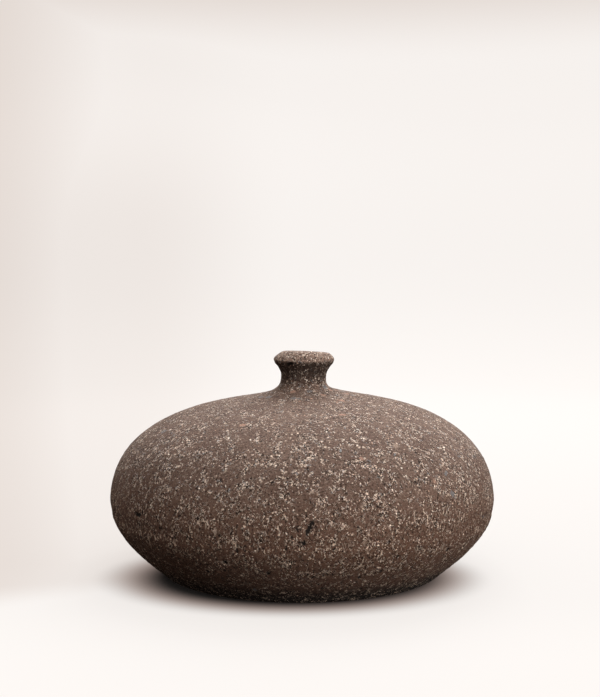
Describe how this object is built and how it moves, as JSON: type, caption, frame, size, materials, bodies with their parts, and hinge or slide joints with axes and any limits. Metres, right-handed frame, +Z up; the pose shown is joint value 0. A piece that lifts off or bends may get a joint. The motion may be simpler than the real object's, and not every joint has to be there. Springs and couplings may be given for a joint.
{
  "type": "bud vase",
  "caption": "Squat, round stoneware bud vase with a wide low body, a short pinched neck, a flared lip and a glazed hollow inside.",
  "frame": {"origin": "middle of the foot, on the surface that the vase stands on", "axes": "+Z up along the axis it was turned on, through the mouth; +X and +Y are level, and any turn about Z looks the same"},
  "size_m": [0.22, 0.22, 0.1247],
  "materials": {
    "floor_clay": "unglazed grogged stoneware, bare and pale brown",
    "lower_stoneware": "unglazed matte dark brown stoneware, coarse pale grog and torn pits",
    "upper_stoneware": "unglazed matte brown stoneware, wiped smooth between pale grog flecks",
    "neck_stoneware": "unglazed matte brown stoneware with pale streaks",
    "rim_stoneware": "unglazed matte brown stoneware, edges worn paler",
    "liner_glaze": "glossy dark brown liner glaze"
  },
  "bodies": {
    "root": {"base_disc": "floor_clay", "lower_wall": "lower_stoneware", "upper_wall": "upper_stoneware", "neck_collar": "neck_stoneware", "rim_ring": "rim_stoneware", "glaze_liner": "liner_glaze"}
  },
  "joints": []
}
